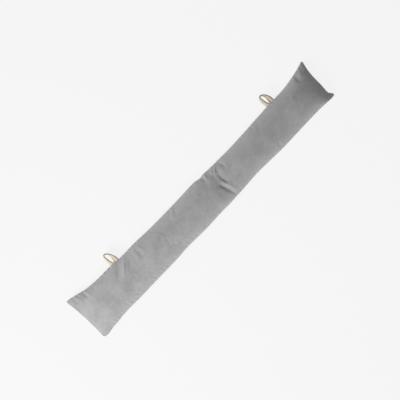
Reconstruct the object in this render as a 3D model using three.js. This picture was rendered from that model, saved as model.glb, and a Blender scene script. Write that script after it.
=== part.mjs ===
// A draught excluder: a long velvet cover, filled, lying on its back on the floor, with two
// hanging loops of cotton tape sewn into its back seam.
// Millimetres, +Z up. X runs along the length, +Y is the side with the loops, the floor is Z = 0.

import * as THREE from "three";

// Driving dimensions
const LENGTH = 900; // over the corners
const SEAM_HEIGHT = 30; // of the side seams above the floor
const SEAM_THICKNESS = 2; // two layers of velvet
const FILL_DEPTH = 41; // how far the lower panel would hang below its seams with no floor under it
const TAPE_WIDTH = 15;
const TAPE_THICKNESS = 1.6;
const SEWING_GAP = 0.3; // between a tape's end and the seam that holds it

// How full the cover is across its width and towards its ends
const SIDE_FULLNESS = { power: 2.2, root: 0.62 };
const END_FULLNESS = { power: 2.2, root: 0.6, reach: 85 };

// The cover from its left end to its right end, one row for each cross-section:
// the front seam's and the back seam's place across, and the height of the crown
const SECTIONS = [
  { x: -450, front: -61, back: 77, crown: 64 },
  { x: -434, front: -64.5, back: 74.5, crown: 64 },
  { x: -412, front: -61, back: 69, crown: 64 },
  { x: -391, front: -59.5, back: 63.5, crown: 64 },
  { x: -368, front: -57, back: 60, crown: 64 },
  { x: -340, front: -56, back: 58, crown: 64 },
  { x: -260, front: -57, back: 55, crown: 64 },
  { x: -120, front: -54, back: 51.5, crown: 67 },
  { x: -50, front: -56, back: 51.5, crown: 68 },
  { x: 15, front: -55, back: 52.5, crown: 67 },
  { x: 36, front: -55, back: 49.5, crown: 66 },
  { x: 50, front: -54.5, back: 51, crown: 64 },
  { x: 68, front: -54, back: 49.5, crown: 62 },
  { x: 100, front: -53, back: 48.5, crown: 66 },
  { x: 154, front: -51, back: 48, crown: 70 },
  { x: 250, front: -53.5, back: 51.5, crown: 68 },
  { x: 357, front: -52.5, back: 54, crown: 67 },
  { x: 389, front: -52.5, back: 58, crown: 66 },
  { x: 432, front: -55, back: 67.5, crown: 65 },
  { x: 450, front: -53, back: 72, crown: 65 },
];

// How far each end seam is drawn in at its middle, and how far its front corner stands back
const END_SEAMS = {
  left: { drawnIn: 6, frontBack: 4 },
  right: { drawnIn: 7, frontBack: 1 },
  reach: 110,
};

// Corners that droop below the seam height. The front right one is tucked under.
const CORNERS = [
  { x: -450, y: -62, reach: 45, drop: 8 },
  { x: -450, y: 77, reach: 50, drop: 4 },
  { x: 450, y: -54, reach: 24, drop: 17 },
  { x: 450, y: 72, reach: 50, drop: 5 },
];

// Creases of the upper panel, from and to a point on it. Bow is how far the middle of a crease stands
// to its left, width its half width, and height is below zero for a trough.
const CREASES = [
  // the fold right across, a little right of the middle
  { from: [60, 12], to: [77, -52], bow: 2, width: 6.5, height: 7 },
  { from: [49, 8], to: [66, -56], bow: 2, width: 6.5, height: -7 },
  { from: [78, 48], to: [90, -22], bow: -9, width: 7, height: -8 },
  { from: [92, 38], to: [100, -12], bow: -6, width: 9, height: 3 },
  { from: [99, 48], to: [112, 12], bow: 0, width: 6, height: -4 },
  { from: [36, 50], to: [42, 18], bow: 0, width: 6, height: -4 },
  { from: [52, 48], to: [46, 18], bow: 0, width: 6, height: 3 },
  // the drag lines below the left loop
  { from: [-258, 50], to: [-300, 8], bow: 0, width: 7, height: 4 },
  { from: [-276, 52], to: [-320, 6], bow: 0, width: 8, height: -4 },
  { from: [-250, 38], to: [-278, -8], bow: 3, width: 7, height: -3 },
  { from: [-229, 48], to: [-232, 0], bow: 4, width: 9, height: 3 },
  { from: [-168, 49], to: [-138, 4], bow: 0, width: 8, height: -3 },
  { from: [-72, 50], to: [-96, 16], bow: 0, width: 9, height: 3 },
  // the puckers of the corners
  { from: [-441, 72], to: [-422, 44], bow: 0, width: 6, height: -6 },
  { from: [-424, 70], to: [-412, 42], bow: 0, width: 6, height: 4 },
  { from: [-400, 67], to: [-390, 38], bow: 0, width: 6, height: -4 },
  { from: [412, 63], to: [402, 34], bow: 0, width: 6, height: -4 },
  { from: [431, 68], to: [416, 40], bow: 0, width: 6, height: 3 },
  { from: [447, -26], to: [428, -60], bow: 0, width: 6, height: -9 },
];

// Steps between cross-sections, finer where the ends close and the cloth is creased
const SPACING = [
  { until: -444, step: 2 },
  { until: -396, step: 5 },
  { until: -324, step: 9 },
  { until: -216, step: 6 },
  { until: 28, step: 10 },
  { until: 118, step: 4 },
  { until: 394, step: 10 },
  { until: 444, step: 5 },
  { until: 450, step: 2 },
];
const STEPS_ACROSS = 16;
const EVENNESS_ACROSS = 0.35; // 0 crowds the steps at the seams, 1 spaces them evenly

// The hanging loops: the middle of each between its two sewn ends, and how far it stands out
const LOOPS = [
  { name: "loop_left", x: -283.5, reach: 35 },
  { name: "loop_right", x: 310.5, reach: 32.5 },
];

// The way of a loop's tape, from its left sewn end round to its right one: along the seam, out from it
// as a share of the loop's reach, above it, and the turn of its width from upright (0 degrees) to flat
// along the seam (90 degrees)
const TAPE_WAY = [
  { along: -7.7, out: 0, above: 0, turn: 90 },
  { along: -8.4, out: 0.2, above: 0, turn: 62 },
  { along: -9.8, out: 0.43, above: -0.5, turn: 28 },
  { along: -10.2, out: 0.66, above: -1.5, turn: 15 },
  { along: -8.8, out: 0.87, above: -3, turn: 11 },
  { along: -4.4, out: 0.98, above: -3.5, turn: 11 },
  { along: 1.2, out: 0.9, above: -3, turn: 13 },
  { along: 4.6, out: 0.7, above: -1.5, turn: 18 },
  { along: 6.6, out: 0.46, above: -0.5, turn: 32 },
  { along: 7.4, out: 0.23, above: 0, turn: 58 },
  { along: 7.7, out: 0, above: 0, turn: 90 },
];
const TAPE_STEPS = 30;

// Finishes
const velvet = new THREE.MeshStandardMaterial({ color: 0x9a9a9b, roughness: 0.95, metalness: 0 });
const cottonTape = new THREE.MeshStandardMaterial({ color: 0xd9c6a3, roughness: 0.9, metalness: 0 });

// Eases from 0 to 1 while t goes from 0 to 1
function ease(t) {
  const inside = THREE.MathUtils.clamp(t, 0, 1);
  return inside * inside * (3 - 2 * inside);
}

// A value of the SECTIONS table at any place along the length, on a smooth curve through its rows
function sectionValue(column, x) {
  const last = SECTIONS.length - 1;
  const found = SECTIONS.findIndex((row) => row.x > x);
  const right = found < 0 ? last : Math.max(found, 1);
  const left = right - 1;
  const slopeAt = (i) => {
    const before = SECTIONS[Math.max(i - 1, 0)];
    const after = SECTIONS[Math.min(i + 1, last)];
    return (after[column] - before[column]) / (after.x - before.x);
  };
  const span = SECTIONS[right].x - SECTIONS[left].x;
  const t = (x - SECTIONS[left].x) / span;
  const rise = t * t * (3 - 2 * t);
  const start = SECTIONS[left][column];
  const end = SECTIONS[right][column];
  const bends = t * (1 - t) * ((1 - t) * slopeAt(left) - t * slopeAt(right)) * span;
  return start + (end - start) * rise + bends;
}

// A filled profile: 0 at the seam and 1 in the middle, steep at the seam as stuffed cloth is
function filled(fromMiddle, { power, root }) {
  return Math.pow(Math.max(0, 1 - Math.pow(Math.abs(fromMiddle), power)), root);
}

// How far the end seams move a point along the length. Across runs from -1 at the front to 1 at the back.
function endSeamShift(x, across) {
  const side = x < 0 ? END_SEAMS.left : END_SEAMS.right;
  const fromEnd = LENGTH / 2 - Math.abs(x);
  const share = 1 - ease(fromEnd / END_SEAMS.reach);
  const inwards = side.drawnIn * (1 - across * across) + side.frontBack * (1 - across) / 2;
  return -Math.sign(x) * inwards * share;
}

// How far the corners let a point of either panel down
function cornerDrop(x, y) {
  return CORNERS.reduce((sum, corner) => {
    const distance = Math.hypot(x - corner.x, y - corner.y) / corner.reach;
    return sum + corner.drop * Math.exp(-distance * distance);
  }, 0);
}

// The height that one crease adds at a point of the upper panel
function creaseHeight(crease, x, y) {
  const [x0, y0] = crease.from;
  const dx = crease.to[0] - x0;
  const dy = crease.to[1] - y0;
  const length = Math.hypot(dx, dy);
  const along = ((x - x0) * dx + (y - y0) * dy) / (length * length);
  if (along <= 0 || along >= 1) return 0;
  const sideways = ((y - y0) * dx - (x - x0) * dy) / length;
  const aside = (sideways - crease.bow * 4 * along * (1 - along)) / crease.width;
  return crease.height * Math.exp(-aside * aside) * Math.sqrt(Math.sin(Math.PI * along));
}

// A point of the cover, on its upper or its lower panel
function coverPoint(station, across, upper) {
  const front = sectionValue("front", station);
  const back = sectionValue("back", station);
  const x = station + endSeamShift(station, across);
  const y = (front + back) / 2 + ((back - front) / 2) * across;
  const fromEnd = Math.min((LENGTH / 2 - Math.abs(station)) / END_FULLNESS.reach, 1);
  const fullness = filled(across, SIDE_FULLNESS) * filled(1 - fromEnd, END_FULLNESS);
  const drop = cornerDrop(x, y);
  if (!upper) {
    const underside = SEAM_HEIGHT - SEAM_THICKNESS / 2 - drop - FILL_DEPTH * fullness;
    return new THREE.Vector3(x, y, Math.max(0, underside));
  }
  const seam = SEAM_HEIGHT + SEAM_THICKNESS / 2;
  const creases = CREASES.reduce((sum, crease) => sum + creaseHeight(crease, x, y), 0);
  const crown = (sectionValue("crown", station) - seam + creases) * fullness;
  return new THREE.Vector3(x, y, seam - drop + crown);
}

// Places along the length for the cross-sections
function stations() {
  const places = [-LENGTH / 2];
  for (const { until, step } of SPACING) {
    const start = places[places.length - 1];
    const count = Math.ceil((until - start) / step);
    for (let i = 1; i <= count; i++) places.push(start + ((until - start) * i) / count);
  }
  return places;
}

// One closed body between an upper and a lower grid of points that run the same way
function solidBetween(upper, lower) {
  const columns = upper.length - 1;
  const rows = upper[0].length - 1;
  const stride = rows + 1;
  const lowerStart = upper.length * stride;
  const top = (i, j) => i * stride + j;
  const bottom = (i, j) => lowerStart + i * stride + j;
  const faces = [];
  const quad = (a, b, c, d) => faces.push(a, b, c, a, c, d);
  for (let i = 0; i < columns; i++) {
    for (let j = 0; j < rows; j++) {
      quad(top(i, j), top(i + 1, j), top(i + 1, j + 1), top(i, j + 1));
      quad(bottom(i, j), bottom(i, j + 1), bottom(i + 1, j + 1), bottom(i + 1, j));
    }
    quad(bottom(i, 0), bottom(i + 1, 0), top(i + 1, 0), top(i, 0));
    quad(bottom(i + 1, rows), bottom(i, rows), top(i, rows), top(i + 1, rows));
  }
  for (let j = 0; j < rows; j++) {
    quad(bottom(0, j + 1), bottom(0, j), top(0, j), top(0, j + 1));
    quad(bottom(columns, j), bottom(columns, j + 1), top(columns, j + 1), top(columns, j));
  }
  const points = [...upper.flat(), ...lower.flat()];
  const geometry = new THREE.BufferGeometry().setFromPoints(points);
  geometry.setIndex(faces);
  geometry.computeVertexNormals();
  return geometry;
}

// The filled cover, its two panels sewn together all round
function buildCover() {
  const across = Array.from({ length: STEPS_ACROSS + 1 }, (_, j) => {
    const share = j / STEPS_ACROSS;
    return THREE.MathUtils.lerp(-Math.cos(Math.PI * share), 2 * share - 1, EVENNESS_ACROSS);
  });
  const panel = (upper) => stations().map((x) => across.map((place) => coverPoint(x, place, upper)));
  const cover = new THREE.Mesh(solidBetween(panel(true), panel(false)), velvet);
  cover.name = "cover";
  return cover;
}

// A hanging loop: one length of tape whose two ends are sewn side by side into the back seam
function buildLoop({ name, x, reach }) {
  const way = (column) => new THREE.CatmullRomCurve3(TAPE_WAY.map(column), false, "centripetal");
  const middle = way((row) => new THREE.Vector3(row.along, row.out * reach, row.above));
  const turns = way((row) => new THREE.Vector3(row.along, row.out * reach, row.turn));
  const faceUp = [];
  const faceDown = [];
  for (let i = 0; i <= TAPE_STEPS; i++) {
    const t = i / TAPE_STEPS;
    const point = middle.getPoint(t);
    const turn = THREE.MathUtils.degToRad(turns.getPoint(t).z);
    const widthways = new THREE.Vector3(Math.sin(turn), 0, Math.cos(turn));
    const outwards = new THREE.Vector3().crossVectors(widthways, middle.getTangent(t)).normalize();
    const edge = (side, face) =>
      point
        .clone()
        .addScaledVector(widthways, (side * TAPE_WIDTH) / 2)
        .addScaledVector(outwards, (face * TAPE_THICKNESS) / 2);
    faceUp.push([edge(1, 1), edge(-1, 1)]);
    faceDown.push([edge(1, -1), edge(-1, -1)]);
  }
  const loop = new THREE.Mesh(solidBetween(faceUp, faceDown), cottonTape);
  const sewnHalf = Math.abs(TAPE_WAY[0].along) + TAPE_WIDTH / 2;
  const seamLeft = sectionValue("back", x - sewnHalf);
  const seamRight = sectionValue("back", x + sewnHalf);
  const seam = Math.max(sectionValue("back", x), (seamLeft + seamRight) / 2);
  loop.position.set(x, seam + SEWING_GAP, SEAM_HEIGHT);
  loop.rotation.z = Math.atan2(seamRight - seamLeft, 2 * sewnHalf);
  loop.name = name;
  return loop;
}

const draughtExcluder = new THREE.Group();
draughtExcluder.add(buildCover(), ...LOOPS.map(buildLoop));

export default draughtExcluder;
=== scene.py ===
"""The looks of a draught excluder: a long filled velvet cover with two hanging loops of cotton tape.

X runs along the length, +Y is the side with the loops and the floor is Z = 0. Sizes of the cloth are in
millimetres, and its meshes, the lights and the camera are in metres.
"""

from __future__ import annotations

import logging
import math
from dataclasses import dataclass, field
from enum import Enum

import bpy
import numpy as np
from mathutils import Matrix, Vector


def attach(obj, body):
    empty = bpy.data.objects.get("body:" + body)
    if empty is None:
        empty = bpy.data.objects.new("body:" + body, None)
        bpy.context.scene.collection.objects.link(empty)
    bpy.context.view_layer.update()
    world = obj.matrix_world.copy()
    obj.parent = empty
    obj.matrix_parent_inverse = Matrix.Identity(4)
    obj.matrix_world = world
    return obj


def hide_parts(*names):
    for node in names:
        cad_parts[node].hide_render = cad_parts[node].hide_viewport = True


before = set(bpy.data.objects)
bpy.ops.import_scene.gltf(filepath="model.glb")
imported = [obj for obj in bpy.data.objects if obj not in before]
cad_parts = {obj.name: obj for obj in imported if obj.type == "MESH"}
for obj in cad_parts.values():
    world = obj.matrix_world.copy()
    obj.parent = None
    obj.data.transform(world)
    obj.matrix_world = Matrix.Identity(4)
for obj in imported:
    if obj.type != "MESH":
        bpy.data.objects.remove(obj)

MM = 0.001
TINY = 1e-9
log = logging.getLogger("draught_excluder")


class Panel(Enum):
    """The two panels of the cover."""

    UPPER = "upper"
    LOWER = "lower"


class Coordinates(Enum):
    """What a texture is laid out by."""

    OBJECT = "Object"
    ALONG_TAPE = "UV"


@dataclass(frozen=True)
class Section:
    """One cross-section of the cover: where its seams lie across and how high its crown is."""

    x: float
    front: float
    back: float
    crown: float


@dataclass(frozen=True)
class Fullness:
    """How stuffed cloth rises from a seam: steeply at first, then level."""

    power: float
    root: float

    def at(self, from_middle: np.ndarray) -> np.ndarray:
        """Gives the share of the full height, 0 at the seam and 1 in the middle."""
        return np.maximum(0.0, 1.0 - np.abs(from_middle) ** self.power) ** self.root


@dataclass(frozen=True)
class EndSeam:
    """How far an end seam is drawn in at its middle, and how far its front and back corners stand in."""

    drawn_in: float
    front_in: float
    back_in: float

    def at(self, across: np.ndarray) -> np.ndarray:
        """Gives how far the seam is moved inwards."""
        corners = self.front_in * (1.0 - across) / 2.0 + self.back_in * (1.0 + across) / 2.0
        return self.drawn_in * (1.0 - across * across) + corners


@dataclass(frozen=True)
class Corner:
    """A rounded corner of the cover that droops below the seams."""

    x: float
    y: float
    radius: float
    reach: float
    drop: float


@dataclass(frozen=True)
class Tuck:
    """A nick in the right end seam, beside a corner that is tucked under."""

    y: float
    breadth_behind: float
    breadth_before: float
    depth: float
    reach: float

    def at(self, y: np.ndarray, from_end: np.ndarray) -> np.ndarray:
        """Gives how far the nick moves points inwards."""
        breadth = np.where(y > self.y, self.breadth_behind, self.breadth_before)
        nick = self.depth * np.exp(-(((y - self.y) / breadth) ** 2))
        return nick * (1.0 - ease(from_end / self.reach))


@dataclass(frozen=True)
class Crease:
    """A soft trough, or a ridge where its height is above zero, from one point of the panel to another.

    Bow is how far its middle stands to the left of the straight line, and width is half its breadth.
    """

    start: tuple[float, float]
    end: tuple[float, float]
    bow: float
    width: float
    height: float

    def at(self, x: np.ndarray, y: np.ndarray) -> np.ndarray:
        """Gives the height that the crease adds.

        Args:
            x: places along the cover.
            y: places across it.

        Returns:
            The heights, with the shape of x.
        """
        dx = self.end[0] - self.start[0]
        dy = self.end[1] - self.start[1]
        length = math.hypot(dx, dy)
        along = ((x - self.start[0]) * dx + (y - self.start[1]) * dy) / length**2
        sideways = ((y - self.start[1]) * dx - (x - self.start[0]) * dy) / length
        inside = np.clip(along, 0.0, 1.0)
        aside = (sideways - self.bow * 4.0 * inside * (1.0 - inside)) / self.width
        return self.height * np.exp(-(aside**2)) * np.sqrt(np.sin(math.pi * inside))


@dataclass(frozen=True)
class Slack:
    """A place where the cloth is looser than elsewhere, so that it gathers there."""

    x: float
    y: float
    reach_along: float
    reach_across: float
    amount: float

    def at(self, x: np.ndarray, y: np.ndarray) -> np.ndarray:
        """Gives the slack, as a share of the most slack."""
        along = (x - self.x) / self.reach_along
        across = (y - self.y) / self.reach_across
        return self.amount * np.exp(-(along**2) - across**2)


def ease(share: np.ndarray) -> np.ndarray:
    """Eases from 0 to 1 while the share goes from 0 to 1."""
    inside = np.clip(share, 0.0, 1.0)
    return inside * inside * (3.0 - 2.0 * inside)


def travel_along(line: np.ndarray) -> np.ndarray:
    """Gives how far along a line each of its points is."""
    lengths = np.linalg.norm(np.diff(line, axis=0), axis=1)
    return np.concatenate([[0.0], np.cumsum(lengths)])


def unit(vectors: np.ndarray) -> np.ndarray:
    """Gives vectors the length 1."""
    return vectors / np.maximum(np.linalg.norm(vectors, axis=-1, keepdims=True), TINY)


def soft_floor(height: np.ndarray, roundness: float) -> np.ndarray:
    """Keeps heights above zero, with a rounded bend where the cloth meets the floor.

    Args:
        height: heights with no floor under them.
        roundness: how far above and below the floor the bend reaches.

    Returns:
        The heights with the floor.
    """
    share = np.clip(0.5 + 0.5 * height / roundness, 0.0, 1.0)
    return height * share + roundness * share * (1.0 - share)


def graded_steps(
    places: np.ndarray, travel: np.ndarray, fine: float, coarse: float, zone: float
) -> np.ndarray:
    """Chooses places along a curve, close together at both of its ends and wider apart between them.

    Args:
        places: places in order, close together.
        travel: how far along the curve each of them is.
        fine: the step at the ends.
        coarse: the step in between.
        zone: how far from an end the steps keep growing.

    Returns:
        The chosen places, both ends included.
    """
    from_end = np.minimum(travel, travel[-1] - travel)
    step = fine + (coarse - fine) * ease(from_end / zone)
    counted = np.concatenate([[0.0], np.cumsum(np.diff(travel) * 2.0 / (step[1:] + step[:-1]))])
    count = int(round(counted[-1]))
    return np.interp(np.linspace(0.0, counted[-1], count + 1), counted, places)


def smooth_weights(known: np.ndarray, wanted: np.ndarray) -> np.ndarray:
    """Gives the weights that carry values from known places to wanted ones along smooth curves.

    Args:
        known: places where the values are known, in order.
        wanted: places where they are wanted.

    Returns:
        One row of weights for each wanted place.
    """
    number = np.interp(wanted, known, np.arange(len(known)))
    first = np.clip(np.floor(number).astype(int), 0, len(known) - 2)
    share = number - first
    weights = np.zeros((len(wanted), len(known)))
    shares = (
        -share * (1.0 - share) ** 2 / 2.0,
        1.0 - share**2 * (5.0 - 3.0 * share) / 2.0,
        share * (1.0 + share * (4.0 - 3.0 * share)) / 2.0,
        -(share**2) * (1.0 - share) / 2.0,
    )
    for offset, value in enumerate(shares, start=-1):
        place = np.clip(first + offset, 0, len(known) - 1)
        np.add.at(weights, (np.arange(len(wanted)), place), value)
    return weights


def curve_through(
    places: np.ndarray, values: np.ndarray, slopes: np.ndarray, wanted: np.ndarray
) -> np.ndarray:
    """Gives values between known places, on a smooth curve with a known slope at each of them.

    Args:
        places: the known places, in order.
        values: one value, or one row of values, for each place.
        slopes: their slopes there.
        wanted: the places where values are wanted.

    Returns:
        The values at the wanted places.
    """
    right = np.clip(np.searchsorted(places, wanted, side="right"), 1, len(places) - 1)
    left = right - 1
    size = wanted.shape + (1,) * (values.ndim - 1)
    span = (places[right] - places[left]).reshape(size)
    share = (wanted - places[left]).reshape(size) / span
    rise = share * share * (3.0 - 2.0 * share)
    bends = share * (1.0 - share) * ((1.0 - share) * slopes[left] - share * slopes[right]) * span
    return values[left] + (values[right] - values[left]) * rise + bends


def new_object(name: str, points: np.ndarray, faces: list[list[int]]) -> bpy.types.Object:
    """Makes a smooth mesh object.

    Args:
        name: the piece's name.
        points: its points, in metres.
        faces: the point numbers of each face.

    Returns:
        The object, linked to the scene.
    """
    mesh = bpy.data.meshes.new(name)
    mesh.from_pydata(points.tolist(), [], faces)
    mesh.shade_smooth()
    made = bpy.data.objects.new(name, mesh)
    bpy.context.scene.collection.objects.link(made)
    return made


@dataclass(frozen=True)
class CoverShape:
    """The form of the filled cover, in millimetres."""

    length: float = 900.0
    seam_height: float = 30.0
    fill_depth: float = 41.0
    floor_roundness: float = 7.0
    sides: Fullness = Fullness(2.2, 0.62)
    ends: Fullness = Fullness(2.2, 0.72)
    end_reach: float = 95.0
    end_seam_reach: float = 110.0
    measuring_points: int = 4001
    left_end: EndSeam = EndSeam(4.0, 2.0, -1.5)
    right_end: EndSeam = EndSeam(10.3, -1.0, -3.0)
    tuck: Tuck = Tuck(-38.0, 22.0, 7.0, 5.5, 40.0)
    sections: tuple[Section, ...] = (
        Section(-450, -62, 77.5, 64),
        Section(-434, -64.7, 75, 64),
        Section(-412, -61.5, 69.6, 64),
        Section(-391, -60.6, 63.8, 64),
        Section(-368, -58.3, 60.8, 64),
        Section(-340, -57.8, 59.1, 64),
        Section(-298, -58.5, 58.7, 64),
        Section(-262, -58, 55.5, 64),
        Section(-210, -57.8, 55.5, 65),
        Section(-160, -57.6, 53, 66),
        Section(-120, -55.6, 52.3, 67),
        Section(-50, -57.4, 52.3, 68),
        Section(15, -55.8, 53.5, 67),
        Section(36, -56.2, 49.7, 66),
        Section(50, -56.2, 51.3, 64),
        Section(68, -55.2, 50.2, 62),
        Section(100, -54.2, 49.2, 66),
        Section(154, -51.8, 48.6, 70),
        Section(250, -54.6, 52, 68),
        Section(311, -53.8, 54.4, 67),
        Section(357, -53.2, 54.9, 67),
        Section(389, -53.1, 58.8, 66),
        Section(432, -55.7, 67.8, 65),
        Section(450, -55, 73.3, 65),
    )
    corners: tuple[Corner, ...] = (
        Corner(-450, -62, 6, 45, 6),
        Corner(-450, 77, 6, 50, 4),
        Corner(450, -54, 5, 24, 17),
        Corner(450, 74, 7, 50, 4),
    )
    creases: tuple[Crease, ...] = (
        # the fold right across, a little right of the middle
        Crease((59, 1), (75, -55), 1.5, 5, -5.4),
        Crease((67.5, 3), (83, -46), 1.5, 5.2, 3.0),
        Crease((88, 34), (77, 14), -2, 6, -1.5),
        Crease((77, 21), (82, -12), -2, 4.2, -3.8),
        Crease((95, 27), (90, 12), 0, 5, 1.0),
        Crease((98, 50), (106, 24), 0, 3.4, -4.4),
        Crease((79, 51), (65, 34), 0, 2.6, 5.8),
        Crease((88, 48), (71, 28), 0, 2.6, 5.4),
        Crease((41, 51), (40, 33), 0, 3.6, -6.2),
        Crease((51, 51), (46, 34), 0, 2.8, 5.2),
        # the drag lines below the left loop
        Crease((-255, 49), (-291, 12), 0, 3.2, 2.8),
        Crease((-270, 54), (-312, 12), 0, 8, -2.6),
        Crease((-246, 42), (-270, 4), 2, 7, -2.4),
        Crease((-250, 26), (-271, 0), 0, 4, 1),
        Crease((-229, 48), (-230, 12), 4, 6, 2),
        Crease((-212, 48), (-204, 18), 0, 5, 1.5),
        Crease((-166, 49), (-138, 12), 0, 5, 0.7),
        Crease((-72, 50), (-92, 26), 0, 6, 1.6),
        # the puckers of the corners
        Crease((-439, 75), (-424, 48), 0, 5.5, -10),
        Crease((-428, 72), (-416, 46), 0, 5, 8),
        Crease((-404, 68), (-395, 42), 0, 4.5, -8),
        Crease((-396, 64), (-389, 42), 0, 4, 4),
        Crease((-376, 60), (-368, 42), 0, 4, -2),
        Crease((412, 63), (402, 36), 0, 5, -5),
        Crease((431, 69), (416, 42), 0, 4.5, 5),
        Crease((447, -42), (427, -58), 0, 4, -16),
        # small dents near the right end
        Crease((346, 39), (358, 28), 0, 3, -1.2),
        Crease((360, 21), (372, 10), 0, 3, -1.2),
    )

    def section_value(self, column: str, x: np.ndarray) -> np.ndarray:
        """Gives a value of the sections anywhere along the length, on a smooth curve through them.

        Args:
            column: front, back or crown.
            x: places along the length.

        Returns:
            The values, with the shape of x.
        """
        places = np.array([row.x for row in self.sections], dtype=float)
        values = np.array([getattr(row, column) for row in self.sections], dtype=float)
        slopes = np.empty_like(values)
        slopes[1:-1] = (values[2:] - values[:-2]) / (places[2:] - places[:-2])
        slopes[0] = (values[1] - values[0]) / (places[1] - places[0])
        slopes[-1] = (values[-1] - values[-2]) / (places[-1] - places[-2])
        return curve_through(places, values, slopes, x)

    def rounded(self, station: np.ndarray, across: np.ndarray) -> tuple[np.ndarray, np.ndarray]:
        """Rounds the four corners of the panels.

        Args:
            station: places along the length.
            across: places across, from -1 at the front seam to 1 at the back seam.

        Returns:
            The places along and across, with the corners rounded.
        """
        half_width = (self.section_value("back", station) - self.section_value("front", station)) / 2.0
        from_end = self.length / 2.0 - np.abs(station)
        from_side = (1.0 - np.abs(across)) * half_width
        new_station = station.copy()
        new_across = across.copy()
        for corner in self.corners:
            here = (np.sign(station) == np.sign(corner.x)) & (np.sign(across) == np.sign(corner.y))
            here &= (from_end < corner.radius) & (from_side < corner.radius)
            to_end = corner.radius - from_end
            to_side = corner.radius - from_side
            share = np.maximum(to_end, to_side) / np.maximum(np.hypot(to_end, to_side), TINY)
            moved_end = corner.radius - to_end * share
            moved_side = corner.radius - to_side * share
            new_station = np.where(here, np.sign(station) * (self.length / 2.0 - moved_end), new_station)
            new_across = np.where(here, np.sign(across) * (1.0 - moved_side / half_width), new_across)
        return new_station, new_across

    def end_seam_shift(self, station: np.ndarray, across: np.ndarray, y: np.ndarray) -> np.ndarray:
        """Gives how far the end seams move points along the length.

        Args:
            station: places along the length.
            across: places across, from -1 at the front seam to 1 at the back seam.
            y: the same places in millimetres.

        Returns:
            The shifts.
        """
        from_end = self.length / 2.0 - np.abs(station)
        share = 1.0 - ease(from_end / self.end_seam_reach)
        inwards = np.where(station < 0, self.left_end.at(across), self.right_end.at(across))
        nick = self.tuck.at(y, from_end) * (station > 0)
        return -np.sign(station) * (inwards * share + nick)

    def corner_drop(self, x: np.ndarray, y: np.ndarray) -> np.ndarray:
        """Gives how far the corners let points down."""
        drop = np.zeros_like(x)
        for corner in self.corners:
            distance = np.hypot(x - corner.x, y - corner.y) / corner.reach
            drop += corner.drop * np.exp(-(distance**2))
        return drop

    def fullness(self, station: np.ndarray, across: np.ndarray) -> np.ndarray:
        """Gives how full the cover is, 0 at any seam and 1 in the middle."""
        from_end = np.minimum((self.length / 2.0 - np.abs(station)) / self.end_reach, 1.0)
        return self.sides.at(across) * self.ends.at(1.0 - from_end)

    def points(self, station: np.ndarray, across: np.ndarray, panel: Panel) -> np.ndarray:
        """Gives points of one panel, the lower one as if there were no floor.

        Args:
            station: places along the length, before the end seams draw them in.
            across: places across, from -1 at the front seam to 1 at the back seam.
            panel: the panel.

        Returns:
            The points, with one more axis than station.
        """
        full = self.fullness(station, across)
        along, sideways = self.rounded(station, across)
        front = self.section_value("front", along)
        back = self.section_value("back", along)
        y = (front + back) / 2.0 + (back - front) / 2.0 * sideways
        x = along + self.end_seam_shift(along, sideways, y)
        z = self.seam_height - self.corner_drop(x, y)
        if panel is Panel.LOWER:
            return np.stack([x, y, z - self.fill_depth * full], axis=-1)
        rise = self.section_value("crown", station) - self.seam_height
        rise = rise + sum(crease.at(x, y) for crease in self.creases)
        return np.stack([x, y, z + rise * full], axis=-1)

    def rest(self, points: np.ndarray) -> np.ndarray:
        """Sets points down on the floor."""
        rested = points.copy()
        rested[..., 2] = soft_floor(points[..., 2], self.floor_roundness)
        return rested

    def steps(self, fine: float, coarse: float, zone: float) -> tuple[np.ndarray, np.ndarray]:
        """Chooses steps over the panels, by the length of cloth between them.

        Args:
            fine: the step at the seams.
            coarse: the step away from them.
            zone: how far from a seam the steps keep growing.

        Returns:
            The places along and the places across.
        """
        dense = np.linspace(-1.0, 1.0, self.measuring_points)
        middle = np.zeros_like(dense)
        chosen = []
        for places, station, across in (
            (dense * self.length / 2.0, dense * self.length / 2.0, middle),
            (dense, middle, dense),
        ):
            rise = (self.sections[-1].crown - self.seam_height) * self.fullness(station, across)
            middle_section = self.sections[len(self.sections) // 2]
            half_width = (middle_section.back - middle_section.front) / 2.0
            profile = np.stack([station, across * half_width, rise], axis=-1)
            chosen.append(graded_steps(places, travel_along(profile), fine, coarse, zone))
        return chosen[0], chosen[1]


def sew(upper: np.ndarray, lower: np.ndarray) -> tuple[np.ndarray, list[list[int]]]:
    """Joins two grids of points along their rims.

    Args:
        upper: the upper panel's points.
        lower: the lower panel's points.

    Returns:
        The points and the faces of one closed body. The upper panel's points come first.
    """
    columns, rows = upper.shape[:2]
    numbers = np.arange(columns * rows).reshape(columns, rows)
    under = numbers.copy()
    inner = np.arange((columns - 2) * (rows - 2)).reshape(columns - 2, rows - 2)
    under[1:-1, 1:-1] = columns * rows + inner
    points = np.concatenate([upper.reshape(-1, 3), lower[1:-1, 1:-1].reshape(-1, 3)])
    faces = []
    for grid, painted_side_sheen in ((numbers, False), (under, True)):
        corners = [grid[:-1, :-1], grid[1:, :-1], grid[1:, 1:], grid[:-1, 1:]]
        quads = np.stack(corners[::-1] if painted_side_sheen else corners, axis=-1).reshape(-1, 4)
        faces.extend(quads.tolist())
    return points, faces


def unpick(points: np.ndarray, columns: int, rows: int) -> tuple[np.ndarray, np.ndarray]:
    """Gives back the two grids that were sewn together.

    Args:
        points: the points of the sewn body.
        columns: points along each panel.
        rows: points across each panel.

    Returns:
        The upper and the lower panel's points.
    """
    upper = points[: columns * rows].reshape(columns, rows, 3)
    lower = upper.copy()
    lower[1:-1, 1:-1] = points[columns * rows :].reshape(columns - 2, rows - 2, 3)
    return upper, lower


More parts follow.
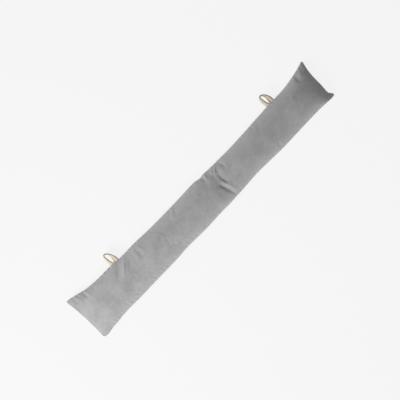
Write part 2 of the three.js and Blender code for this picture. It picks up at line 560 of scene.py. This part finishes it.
@dataclass
class Inflation:
    """Fills the sewn panels as cloth, so that their slack gathers into wrinkles and folds."""

    step: float = 4.2
    frames: int = 20
    pressure: float = 4.0
    point_mass: float = 0.01
    quality: int = 5
    least_slack: float = 0.003
    most_slack: float = 0.03
    cap: float = 9.0
    slack: tuple[Slack, ...] = (
        Slack(74, 0, 26, 90, 0.4),
        Slack(-275, 40, 40, 40, 0.35),
        Slack(-425, 55, 40, 40, 0.6),
        Slack(425, 50, 40, 40, 0.5),
    )
    seam_slack: float = 0.3
    seam_slack_zone: float = 0.45
    least_move: float = 1e-6

    def run(self, shape: CoverShape) -> dict[Panel, np.ndarray]:
        """Simulates the cloth and finds how far its points move.

        Args:
            shape: the cover's form before its cloth settles.

        Returns:
            The moves of each panel's points, at the steps that steps() gives.
        """
        along, across = self.steps(shape)
        station, share = np.meshgrid(along, across, indexing="ij")
        start = [shape.rest(shape.points(station, share, panel)) for panel in Panel]
        points, faces = sew(*start)
        cloth = new_object("cloth_trial", points * MM, faces)
        self.pin(cloth, station.shape)
        self.loosen(cloth, points, share)
        settled = self.settle(cloth)
        bpy.data.objects.remove(cloth)
        moves = settled - points
        distance = np.linalg.norm(moves, axis=1)
        kept = np.tanh(distance / self.cap) * self.cap / np.maximum(distance, self.least_move)
        moves *= kept[:, None]
        log.info("cloth: %d points, moved %.1f mm at most", len(points), distance.max())
        return dict(zip(Panel, unpick(moves, *station.shape)))

    def steps(self, shape: CoverShape) -> tuple[np.ndarray, np.ndarray]:
        """Chooses the even steps of the simulated cloth."""
        return shape.steps(self.step, self.step, self.step)

    @staticmethod
    def pin(cloth: bpy.types.Object, size: tuple[int, int]) -> None:
        """Holds the seam in its place."""
        numbers = np.arange(size[0] * size[1]).reshape(size)
        rim = [numbers[0], numbers[-1], numbers[1:-1, 0], numbers[1:-1, -1]]
        group = cloth.vertex_groups.new(name="seam")
        group.add(np.concatenate(rim).tolist(), 1.0, "REPLACE")

    def loosen(self, cloth: bpy.types.Object, points: np.ndarray, share: np.ndarray) -> None:
        """Gives each point of the cloth its slack.

        Args:
            cloth: the cloth.
            points: its points.
            share: places across of a panel's grid.
        """
        from_zone = np.abs(share) - (1.0 - self.seam_slack_zone)
        near_seam = ease(from_zone / self.seam_slack_zone) * self.seam_slack
        weight = np.concatenate([near_seam.ravel(), near_seam[1:-1, 1:-1].ravel()])
        for patch in self.slack:
            weight = weight + patch.at(points[:, 0], points[:, 1])
        group = cloth.vertex_groups.new(name="slack")
        for number, value in enumerate(np.clip(weight, 0.0, 1.0)):
            group.add([number], float(value), "REPLACE")

    def settle(self, cloth: bpy.types.Object) -> np.ndarray:
        """Runs the simulation.

        Args:
            cloth: the cloth, with its groups of points.

        Returns:
            Its points at the end, in millimetres.
        """
        modifier = cloth.modifiers.new("cloth", "CLOTH")
        settings = modifier.settings
        settings.quality = self.quality
        settings.mass = self.point_mass
        settings.vertex_group_mass = "seam"
        settings.vertex_group_shrink = "slack"
        settings.shrink_min = -self.least_slack
        settings.shrink_max = -self.most_slack
        settings.use_pressure = True
        settings.uniform_pressure_force = self.pressure
        settings.effector_weights.gravity = 0.0
        modifier.point_cache.frame_end = self.frames
        for number in range(1, self.frames + 1):
            bpy.context.scene.frame_set(number)
        graph = bpy.context.evaluated_depsgraph_get()
        mesh = cloth.evaluated_get(graph).to_mesh()
        settled = np.empty(len(mesh.vertices) * 3)
        mesh.vertices.foreach_get("co", settled)
        bpy.context.scene.frame_set(1)
        return settled.reshape(-1, 3) / MM


@dataclass
class Cover:
    """The filled velvet cover, its two panels sewn together all round."""

    shape: CoverShape = field(default_factory=CoverShape)
    inflation: Inflation = field(default_factory=Inflation)
    step_at_seams: float = 0.9
    step: float = 2.8
    seam_zone: float = 16.0
    seam_depth: float = 0.5
    seam_width: float = 1.5
    gather_height: float = 0.4
    gather_pitch: float = 11.0
    gather_reach: float = 5.0
    gather_drift: tuple[tuple[float, float, float], ...] = ((0.35, 37.0, 0.0), (0.3, 17.0, 1.0))
    corner_zone: float = 20.0
    fill: float = 0.75

    def build(self) -> bpy.types.Object:
        """Makes the cover's mesh from its two panels.

        Returns:
            The cover.
        """
        along, across = self.shape.steps(self.step_at_seams, self.step, self.seam_zone)
        station, share = np.meshgrid(along, across, indexing="ij")
        panels = {panel: self.shape.points(station, share, panel) for panel in Panel}
        known_along, known_across = self.inflation.steps(self.shape)
        along_weights = smooth_weights(known_along, along)
        across_weights = smooth_weights(known_across, across)
        for panel, moves in self.inflation.run(self.shape).items():
            panels[panel] += np.einsum("ai,ijk,bj->abk", along_weights, moves, across_weights)
        sewn = [self.seamed(self.shape.rest(panels[panel]), panel) for panel in Panel]
        points, faces = sew(*sewn)
        return new_object("velvet_cover", points * MM, faces)

    def seamed(self, points: np.ndarray, panel: Panel) -> np.ndarray:
        """Draws a panel in along its seam and gathers the cloth beside it.

        Args:
            points: the panel's points.
            panel: the panel.

        Returns:
            The points with the seam.
        """
        along = np.gradient(points, axis=0)
        across = np.gradient(points, axis=1)
        normal = unit(np.cross(along, across) * (1.0 if panel is Panel.UPPER else -1.0))
        from_side, side_place = self.distances(points)
        from_end, end_place = [grid.T for grid in self.distances(points.transpose(1, 0, 2))]
        # Only the long seams are grooved and gathered. The place along an end seam is the lesser by
        # the front of the left half, so the gathers reach further in there.
        distance = np.minimum(from_side, end_place)
        place = np.where(from_side < end_place, side_place, from_end)
        groove = -self.seam_depth * np.exp(-((distance / self.seam_width) ** 2))
        turn = place / self.gather_pitch
        for amount, length, start in self.gather_drift:
            turn = turn + amount * np.sin(place / length + start)
        near = distance / self.gather_reach
        gather = self.gather_height * np.sin(2.0 * math.pi * turn) * near * np.exp(1.0 - near)
        lifted = points + normal * (groove + gather)[..., None]
        lifted[..., 2] = np.maximum(lifted[..., 2], 0.0)
        rim = np.zeros(points.shape[:2], dtype=bool)
        rim[[0, -1], :] = True
        rim[:, [0, -1]] = True
        inwards = points.mean(axis=(0, 1)) - points
        near_end = np.abs(points[..., 0]) > self.shape.length / 2.0 - self.corner_zone
        inwards[..., 0] *= np.where(near_end, 1.0, 0.0)
        inwards[..., 2] = 0.0
        lifted[rim] = (points + unit(inwards) * self.seam_depth)[rim]
        return lifted

    @staticmethod
    def distances(points: np.ndarray) -> tuple[np.ndarray, np.ndarray]:
        """Measures along the cloth from its second axis's seams, and along those seams.

        Args:
            points: a grid of points.

        Returns:
            The distance to the nearer seam, and how far along the seam each point is.
        """
        lengths = np.linalg.norm(np.diff(points, axis=1), axis=-1)
        travel = np.concatenate([np.zeros((len(points), 1)), np.cumsum(lengths, axis=1)], axis=1)
        nearer = np.minimum(travel, travel[:, -1:] - travel)
        place = travel_along(points[:, 0])
        beyond = 0.5 * place[-1] * (travel > travel[:, -1:] / 2.0)
        return nearer, place[:, None] + beyond

    def dress(self, piece: bpy.types.Object, velvet: bpy.types.Material) -> None:
        """Gives the cover its finish and says what it is.

        Args:
            piece: the cover.
            velvet: its finish.
        """
        piece.data.materials.append(velvet)
        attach(piece, "root")
        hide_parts("cover")


@dataclass(frozen=True)
class TapePoint:
    """A point on the way of a loop's tape.

    Along is along the seam, out is a share of the loop's reach and above is over the seam. Turn is that of
    the tape's width, from 0 degrees upright to 90 degrees flat along the seam.
    """

    along: float
    out: float
    above: float
    turn: float


@dataclass
class Loop:
    """A hanging loop: one length of tape whose two ends are sewn side by side into the back seam."""

    name: str
    node: str
    x: float
    reach: float
    tape_width: float = 15.0
    tape_thickness: float = 3.0
    tape_roundness: float = 0.75
    tucked: float = 3.0
    steps: int = 96
    steps_across: int = 24
    way: tuple[TapePoint, ...] = (
        TapePoint(-6.4, 0, 0, 58),
        TapePoint(-7.2, 0.16, 0, 40),
        TapePoint(-8.6, 0.38, -0.5, 34),
        TapePoint(-9.0, 0.6, -1.5, 30),
        TapePoint(-8.6, 0.8, -2.5, 20),
        TapePoint(-6.4, 0.97, -3, 11),
        TapePoint(-2.5, 1.0, -3, 9),
        TapePoint(1.8, 0.93, -3, 12),
        TapePoint(5.4, 0.8, -2.5, 18),
        TapePoint(8.4, 0.57, -1.5, 30),
        TapePoint(9.3, 0.35, -0.5, 48),
        TapePoint(9.0, 0.13, 0, 64),
        TapePoint(8.8, 0, 0, 74),
    )

    def build(self, shape: CoverShape) -> bpy.types.Object:
        """Makes the loop's mesh.

        Args:
            shape: the cover that it is sewn to.

        Returns:
            The loop.
        """
        middle, turn = self.centre_line()
        tangent = unit(np.gradient(middle, axis=0))
        widthways = np.stack([np.sin(turn), np.zeros_like(turn), np.cos(turn)], axis=-1)
        outwards = unit(np.cross(widthways, tangent))
        across, thick = self.cross_section()
        rings = middle[:, None, :] + widthways[:, None, :] * across[None, :, None]
        rings = rings + outwards[:, None, :] * thick[None, :, None]
        points = self.place(rings.reshape(-1, 3), shape)
        numbers = np.arange(len(points)).reshape(-1, len(across))
        wrapped = np.concatenate([numbers, numbers[:, :1]], axis=1)
        corners = [wrapped[:-1, :-1], wrapped[:-1, 1:], wrapped[1:, 1:], wrapped[1:, :-1]]
        faces = np.stack(corners, axis=-1).reshape(-1, 4).tolist()
        faces.append(numbers[0].tolist())
        faces.append(numbers[-1][::-1].tolist())
        piece = new_object(self.name, points * MM, faces)
        self.lay_weave(piece, middle, across)
        return piece

    def centre_line(self) -> tuple[np.ndarray, np.ndarray]:
        """Gives the tape's middle line, from one tucked-in end to the other, and the turn of its width."""
        rows = np.array([(p.along, p.out * self.reach, p.above, p.turn) for p in self.way])
        first = rows[0] - [0, self.tucked, 0, 0]
        last = rows[-1] - [0, self.tucked, 0, 0]
        rows = np.concatenate([[first], rows, [last]])
        travel = travel_along(rows[:, :3])
        places = np.linspace(0.0, travel[-1], self.steps + 1)
        line = curve_through(travel, rows, np.gradient(rows, travel, axis=0), places)
        return line[:, :3], np.radians(line[:, 3])

    def cross_section(self) -> tuple[np.ndarray, np.ndarray]:
        """Gives the outline of the tape's section, a soft band with round edges."""
        angle = np.linspace(0.0, 2.0 * math.pi, 2 * self.steps_across, endpoint=False)
        across = np.cos(angle)
        thick = np.sign(np.sin(angle)) * np.abs(np.sin(angle)) ** self.tape_roundness
        return across * self.tape_width / 2.0, thick * self.tape_thickness / 2.0

    def place(self, points: np.ndarray, shape: CoverShape) -> np.ndarray:
        """Moves a loop from its own seam to its place on the cover's back seam."""
        half = self.tape_width
        left, middle, right = shape.section_value("back", np.array([self.x - half, self.x, self.x + half]))
        slanted = points.copy()
        slanted[:, 1] += points[:, 0] * (right - left) / (2.0 * half)
        return slanted + np.array([self.x, max(middle, (left + right) / 2.0), shape.seam_height])

    @staticmethod
    def lay_weave(piece: bpy.types.Object, middle: np.ndarray, across: np.ndarray) -> None:
        """Lays texture coordinates along and across the tape, in metres.

        Args:
            piece: the loop.
            middle: the tape's middle line.
            across: where each point of the section lies across the tape.
        """
        travel = travel_along(middle)
        layer = piece.data.uv_layers.new(name="along_tape")
        for entry, loop in zip(layer.data, piece.data.loops):
            ring, place = divmod(loop.vertex_index, len(across))
            entry.uv = (travel[ring] * MM, across[place] * MM)

    def dress(self, piece: bpy.types.Object, tape: bpy.types.Material, cover: bpy.types.Object) -> None:
        """Gives the loop its finish and says what it is.

        Args:
            piece: the loop.
            tape: its finish.
            cover: the cover that holds it; not used.
        """
        piece.data.materials.append(tape)
        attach(piece, "root")
        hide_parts(self.node)


class NodeTree:
    """A short way to fill a shader node tree."""

    NOISE_ROUGHNESS = 0.55
    COLOUR_MIX_INPUTS = (0, 6, 7)
    COLOUR_MIX_OUTPUT = 2

    def __init__(self, tree: bpy.types.NodeTree) -> None:
        """Starts from an empty tree."""
        self.tree = tree
        self.tree.nodes.clear()

    def add(self, kind: str, **values: object) -> bpy.types.Node:
        """Adds a node.

        Args:
            kind: the node's type.
            values: its own settings.

        Returns:
            The node.
        """
        node = self.tree.nodes.new(kind)
        for name, value in values.items():
            setattr(node, name, value)
        return node

    def set(self, socket: bpy.types.NodeSocket, value: object) -> None:
        """Sets a socket to a constant or links it to another node's output."""
        if isinstance(value, bpy.types.NodeSocket):
            self.tree.links.new(value, socket)
        else:
            socket.default_value = value

    def feed(self, node: bpy.types.Node, **inputs: object) -> bpy.types.Node:
        """Sets inputs of a node, each to a constant or to another node's output.

        Args:
            node: the node.
            inputs: the sockets' names, with _ for a space.

        Returns:
            The same node.
        """
        for name, value in inputs.items():
            self.set(node.inputs[name.replace("_", " ")], value)
        return node

    def math(self, operation: str, first: object, second: object) -> bpy.types.NodeSocket:
        """Adds a sum of two values and gives its output."""
        node = self.add("ShaderNodeMath", operation=operation)
        for socket, value in zip(node.inputs, (first, second)):
            self.set(socket, value)
        return node.outputs[0]

    def mix(self, share: object, first: object, second: object) -> bpy.types.NodeSocket:
        """Adds a mix of two colours and gives its output.

        Args:
            share: how much of the second colour there is, from 0 to 1.
            first: a colour.
            second: another colour.

        Returns:
            The mixed colour.
        """
        node = self.add("ShaderNodeMix", data_type="RGBA")
        for number, value in zip(self.COLOUR_MIX_INPUTS, (share, first, second)):
            self.set(node.inputs[number], value)
        return node.outputs[self.COLOUR_MIX_OUTPUT]

    def show(self, shader: bpy.types.NodeSocket, output: str = "ShaderNodeOutputMaterial") -> None:
        """Makes a shader the surface of a new output node."""
        self.feed(self.add(output), Surface=shader)

    def noise(self, vector: bpy.types.NodeSocket, scale: object, detail: float) -> bpy.types.NodeSocket:
        """Adds a noise texture and gives its value, from 0 to 1."""
        node = self.add("ShaderNodeTexNoise")
        self.feed(node, Vector=vector, Scale=scale, Detail=detail, Roughness=self.NOISE_ROUGHNESS)
        return node.outputs["Fac"]


class FibreGroup:
    """The uneven shade and fuzz that any fibre has, as a node group for every cloth here."""

    NAME = "fibre"
    PATCH_SHARE = 0.55
    STREAK_SHARE = 0.3
    FUZZ_SHARE = 0.15

    @classmethod
    def tree(cls) -> bpy.types.NodeTree:
        """Gives the group, built on its first use.

        Returns:
            Its node tree, with a shade from -1 to 1 and a height from 0 to 1.
        """
        if cls.NAME in bpy.data.node_groups:
            return bpy.data.node_groups[cls.NAME]
        group = bpy.data.node_groups.new(cls.NAME, "ShaderNodeTree")
        sockets = group.interface
        sockets.new_socket("Vector", in_out="INPUT", socket_type="NodeSocketVector")
        for name, value in (("Patches", 20.0), ("Streaks", 90.0), ("Fuzz", 1400.0)):
            sockets.new_socket(name, in_out="INPUT", socket_type="NodeSocketFloat").default_value = value
        sockets.new_socket("Shade", in_out="OUTPUT", socket_type="NodeSocketFloat")
        sockets.new_socket("Height", in_out="OUTPUT", socket_type="NodeSocketFloat")
        nodes = NodeTree(group)
        given = nodes.add("NodeGroupInput").outputs
        patches = nodes.noise(given["Vector"], given["Patches"], 2.0)
        streaks = nodes.noise(given["Vector"], given["Streaks"], 3.0)
        fuzz = nodes.noise(given["Vector"], given["Fuzz"], 2.0)
        mixed = nodes.math("MULTIPLY", patches, cls.PATCH_SHARE)
        mixed = nodes.math("ADD", mixed, nodes.math("MULTIPLY", streaks, cls.STREAK_SHARE))
        mixed = nodes.math("ADD", mixed, nodes.math("MULTIPLY", fuzz, cls.FUZZ_SHARE))
        shade = nodes.math("SUBTRACT", nodes.math("MULTIPLY", mixed, 2.0), 1.0)
        given_out = nodes.add("NodeGroupOutput")
        nodes.feed(given_out, Shade=shade, Height=fuzz)
        return group

    @classmethod
    def place(cls, nodes: NodeTree, vector: bpy.types.NodeSocket, **values: float) -> bpy.types.Node:
        """Places the group in a material.

        Args:
            nodes: the material's nodes.
            vector: the coordinates that lay it out.
            values: how many patches, streaks and fibres there are to a metre.

        Returns:
            The group's node.
        """
        node = nodes.add("ShaderNodeGroup", node_tree=cls.tree())
        return nodes.feed(node, Vector=vector, **values)


def new_material(name: str) -> tuple[bpy.types.Material, NodeTree]:
    """Makes a material with an empty node tree."""
    material = bpy.data.materials.new(name)
    material.use_nodes = True
    return material, NodeTree(material.node_tree)


@dataclass(frozen=True)
class VelvetFinish:
    """Short cut pile: matt, mottled where it has been stroked, with a soft sheen along its folds and a
    painted sheen, a lighter colour, where it turns down to the long seams.
    """

    dark: tuple[float, float, float] = (0.20, 0.20, 0.203)
    light: tuple[float, float, float] = (0.28, 0.28, 0.283)
    # painted sheen: a lighter colour on the sides that turn down to the long seams, standing for the
    # velvet's sheen there
    painted_side_sheen: tuple[float, float, float] = (0.40, 0.40, 0.405)
    painted_side_sheen_power: float = 2.4
    sheen: float = 0.48
    sheen_roughness: float = 0.36
    roughness: float = 0.92
    specular: float = 0.15
    patches: float = 26.0
    streaks: float = 110.0
    fuzz: float = 1500.0
    shade_range: float = 0.35
    pile_height: float = 0.0005
    pile_strength: float = 0.35

    def material(self) -> bpy.types.Material:
        """Makes the material.

        Returns:
            The velvet.
        """
        made, nodes = new_material("grey_velvet")
        place = nodes.add("ShaderNodeTexCoord").outputs[Coordinates.OBJECT.value]
        fibre = FibreGroup.place(nodes, place, Patches=self.patches, Streaks=self.streaks, Fuzz=self.fuzz)
        share = nodes.add("ShaderNodeMapRange")
        nodes.feed(share, From_Min=-self.shade_range, From_Max=self.shade_range)
        nodes.feed(share, Value=fibre.outputs["Shade"])
        colour = nodes.mix(share.outputs["Result"], (*self.dark, 1.0), (*self.light, 1.0))
        bump = nodes.add("ShaderNodeBump")
        nodes.feed(bump, Strength=self.pile_strength, Distance=self.pile_height)
        nodes.feed(bump, Height=fibre.outputs["Height"])
        shader = nodes.add("ShaderNodeBsdfPrincipled")
        nodes.feed(shader, Base_Color=self.paint_side_sheen(nodes, colour), Roughness=self.roughness)
        nodes.feed(shader, Normal=bump.outputs["Normal"])
        nodes.feed(shader, Sheen_Weight=self.sheen, Sheen_Roughness=self.sheen_roughness)
        nodes.feed(shader, Specular_IOR_Level=self.specular)
        nodes.show(shader.outputs["BSDF"])
        return made

    def paint_side_sheen(self, nodes: NodeTree, colour: bpy.types.NodeSocket) -> bpy.types.NodeSocket:
        """Paints a sheen on the pile where it turns down to the long seams: the colour is lighter the more
        the surface faces the front or the back.

        Args:
            nodes: the material's nodes.
            colour: the pile's colour on the flat.

        Returns:
            The colour everywhere.
        """
        parts = nodes.add("ShaderNodeSeparateXYZ")
        nodes.feed(parts, Vector=nodes.add("ShaderNodeTexCoord").outputs["Normal"])
        # painted sheen: the colour lightens as the surface turns to face along Y
        painted_side_sheen = nodes.math("ABSOLUTE", parts.outputs["Y"], 0.0)
        share = nodes.math("POWER", painted_side_sheen, self.painted_side_sheen_power)
        return nodes.mix(share, colour, (*self.painted_side_sheen, 1.0))


@dataclass(frozen=True)
class TapeFinish:
    """Plain woven cotton tape, matt and a little uneven in shade, with a painted shade darkening its upper
    edge.
    """

    dark: tuple[float, float, float] = (0.35, 0.29, 0.21)
    light: tuple[float, float, float] = (0.56, 0.475, 0.36)
    # painted shade: a darker colour along the tape's upper edge, standing for shade on the side of the band
    # that faces away from the light
    painted_edge_shade: tuple[float, float, float] = (0.19, 0.155, 0.11)
    painted_edge_shade_from: float = 0.0022
    painted_edge_shade_to: float = 0.0058
    threads: float = 1150.0
    weave_height: float = 0.00025
    weave_strength: float = 0.6
    least_light: float = 0.22
    weave_share: float = 0.55
    fibre_share: float = 0.8
    patches: float = 60.0
    streaks: float = 420.0
    fuzz: float = 3200.0
    roughness: float = 0.88
    sheen: float = 0.15
    sheen_roughness: float = 0.5
    specular: float = 0.2

    def material(self) -> bpy.types.Material:
        """Makes the material.

        Returns:
            The cotton tape.
        """
        made, nodes = new_material("cotton_tape")
        place = nodes.add("ShaderNodeTexCoord").outputs[Coordinates.ALONG_TAPE.value]
        fibre = FibreGroup.place(nodes, place, Patches=self.patches, Streaks=self.streaks, Fuzz=self.fuzz)
        weave = self.weave(nodes, place)
        mixed = nodes.math("ADD", nodes.math("MULTIPLY", weave, self.weave_share), self.least_light)
        uneven = nodes.math("MULTIPLY", fibre.outputs["Shade"], self.fibre_share)
        mixed = nodes.math("ADD", mixed, uneven)
        colour = nodes.mix(mixed, (*self.dark, 1.0), (*self.light, 1.0))
        with_painted_edge_shade = self.with_painted_edge_shade(nodes, place, colour)
        bump = nodes.add("ShaderNodeBump")
        nodes.feed(bump, Strength=self.weave_strength, Distance=self.weave_height, Height=weave)
        shader = nodes.add("ShaderNodeBsdfPrincipled")
        nodes.feed(shader, Base_Color=with_painted_edge_shade, Roughness=self.roughness, Normal=bump.outputs["Normal"])
        nodes.feed(shader, Sheen_Weight=self.sheen, Sheen_Roughness=self.sheen_roughness)
        nodes.feed(shader, Specular_IOR_Level=self.specular)
        nodes.show(shader.outputs["BSDF"])
        return made

    def with_painted_edge_shade(
        self, nodes: NodeTree, place: bpy.types.NodeSocket, colour: bpy.types.NodeSocket
    ) -> bpy.types.NodeSocket:
        """Paints shade on the tape towards its upper edge, where the band is in shade.

        Args:
            nodes: the material's nodes.
            place: coordinates along and across the tape, in metres.
            colour: the colour away from the painted shade.

        Returns:
            The colour of the whole tape.
        """
        # painted shade, darkening the tape towards its upper edge
        parts = nodes.add("ShaderNodeSeparateXYZ")
        nodes.feed(parts, Vector=place)
        share = nodes.add("ShaderNodeMapRange")
        nodes.feed(share, Value=parts.outputs["Y"], From_Min=self.painted_edge_shade_from, From_Max=self.painted_edge_shade_to)
        return nodes.mix(share.outputs["Result"], colour, (*self.painted_edge_shade, 1.0))

    def weave(self, nodes: NodeTree, place: bpy.types.NodeSocket) -> bpy.types.NodeSocket:
        """Adds a plain weave of threads over and under each other.

        Args:
            nodes: the material's nodes.
            place: coordinates along and across the tape, in metres.

        Returns:
            The threads' height, from 0 to 1.
        """
        parts = nodes.add("ShaderNodeSeparateXYZ")
        nodes.feed(parts, Vector=place)
        turns = math.pi * self.threads
        along = nodes.math("SINE", nodes.math("MULTIPLY", parts.outputs["X"], turns), 0.0)
        across = nodes.math("SINE", nodes.math("MULTIPLY", parts.outputs["Y"], turns), 0.0)
        over = nodes.math("MULTIPLY", along, across)
        return nodes.math("ADD", nodes.math("MULTIPLY", over, 0.5), 0.5)


@dataclass(frozen=True)
class FloorFinish:
    """A plain pale floor that glows a little, so that it is even."""

    colour: tuple[float, float, float] = (0.045, 0.045, 0.045)
    glow: float = 0.862
    roughness: float = 0.9

    def material(self) -> bpy.types.Material:
        """Makes the material.

        Returns:
            The floor's finish.
        """
        made, nodes = new_material("pale_floor")
        shader = nodes.add("ShaderNodeBsdfPrincipled")
        nodes.feed(shader, Base_Color=(*self.colour, 1.0), Roughness=self.roughness)
        nodes.feed(shader, Specular_IOR_Level=0.0)
        nodes.feed(shader, Emission_Color=(1.0, 1.0, 1.0, 1.0), Emission_Strength=self.glow)
        nodes.show(shader.outputs["BSDF"])
        return made


@dataclass(frozen=True)
class SoftLight:
    """A square soft light that faces the middle of the cover."""

    name: str
    place: tuple[float, float, float]
    size: float
    power: float

    def build(self, target: Vector) -> None:
        """Adds the light.

        Args:
            target: the point that it faces.
        """
        data = bpy.data.lights.new(self.name, "AREA")
        data.shape = "SQUARE"
        data.size = self.size
        data.energy = self.power
        lamp = bpy.data.objects.new(self.name, data)
        lamp.location = self.place
        lamp.rotation_euler = (target - lamp.location).to_track_quat("-Z", "Y").to_euler()
        lamp.visible_camera = False
        bpy.context.scene.collection.objects.link(lamp)


@dataclass(frozen=True)
class Studio:
    """The floor, the soft lights and the camera above the cover's face."""

    lens: float = 100.0
    sensor: float = 36.0
    view_width: float = 1.069
    view_centre: tuple[float, float, float] = (-0.0055, 0.0087, 0.030)
    roll: float = -45.97
    floor_size: float = 60.0
    sky: float = 0.46
    lights: tuple[SoftLight, ...] = (SoftLight("key", (-1.5, -0.15, 1.55), 1.1, 58.0),)
    floor: FloorFinish = FloorFinish()

    def build(self) -> None:
        """Builds the whole studio."""
        self.build_camera()
        self.build_floor()
        self.build_sky()
        for light in self.lights:
            light.build(Vector(self.view_centre))
        bpy.context.scene.view_settings.view_transform = "Standard"

    def build_camera(self) -> None:
        """Hangs the camera straight above the face, turned as the photograph is."""
        data = bpy.data.cameras.new("camera")
        data.lens = self.lens
        data.sensor_width = self.sensor
        camera = bpy.data.objects.new("camera", data)
        above = self.view_width * self.lens / self.sensor
        camera.location = Vector(self.view_centre) + Vector((0.0, 0.0, above))
        camera.rotation_euler = (0.0, 0.0, math.radians(self.roll))
        bpy.context.scene.collection.objects.link(camera)
        bpy.context.scene.camera = camera

    def build_floor(self) -> None:
        """Lays the floor under the cover."""
        half = self.floor_size / 2.0
        corners = np.array([(-half, -half, 0.0), (half, -half, 0.0), (half, half, 0.0), (-half, half, 0.0)])
        floor = new_object("floor", corners, [[0, 1, 2, 3]])
        floor.data.materials.append(self.floor.material())

    def build_sky(self) -> None:
        """Fills the room with even light."""
        world = bpy.data.worlds.new("sky")
        world.use_nodes = True
        nodes = NodeTree(world.node_tree)
        background = nodes.add("ShaderNodeBackground")
        nodes.feed(background, Color=(1.0, 1.0, 1.0, 1.0), Strength=self.sky)
        nodes.show(background.outputs["Background"], "ShaderNodeOutputWorld")
        bpy.context.scene.world = world


LOOPS = (
    Loop("left_loop", "loop_left", -285.5, 33.0),
    Loop("right_loop", "loop_right", 309.0, 32.0),
)


def main() -> None:
    """Builds the studio, the cover and its loops in order."""
    logging.basicConfig(level=logging.INFO, format="%(message)s")
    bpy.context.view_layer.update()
    Studio().build()
    cover = Cover()
    velvet_cover = cover.build()
    cover.dress(velvet_cover, VelvetFinish().material())
    log.info("%s: %d faces", velvet_cover.name, len(velvet_cover.data.polygons))
    tape = TapeFinish().material()
    for loop in LOOPS:
        piece = loop.build(cover.shape)
        loop.dress(piece, tape, velvet_cover)
        log.info("%s: %d faces", piece.name, len(piece.data.polygons))


if __name__ == "__main__":
    main()
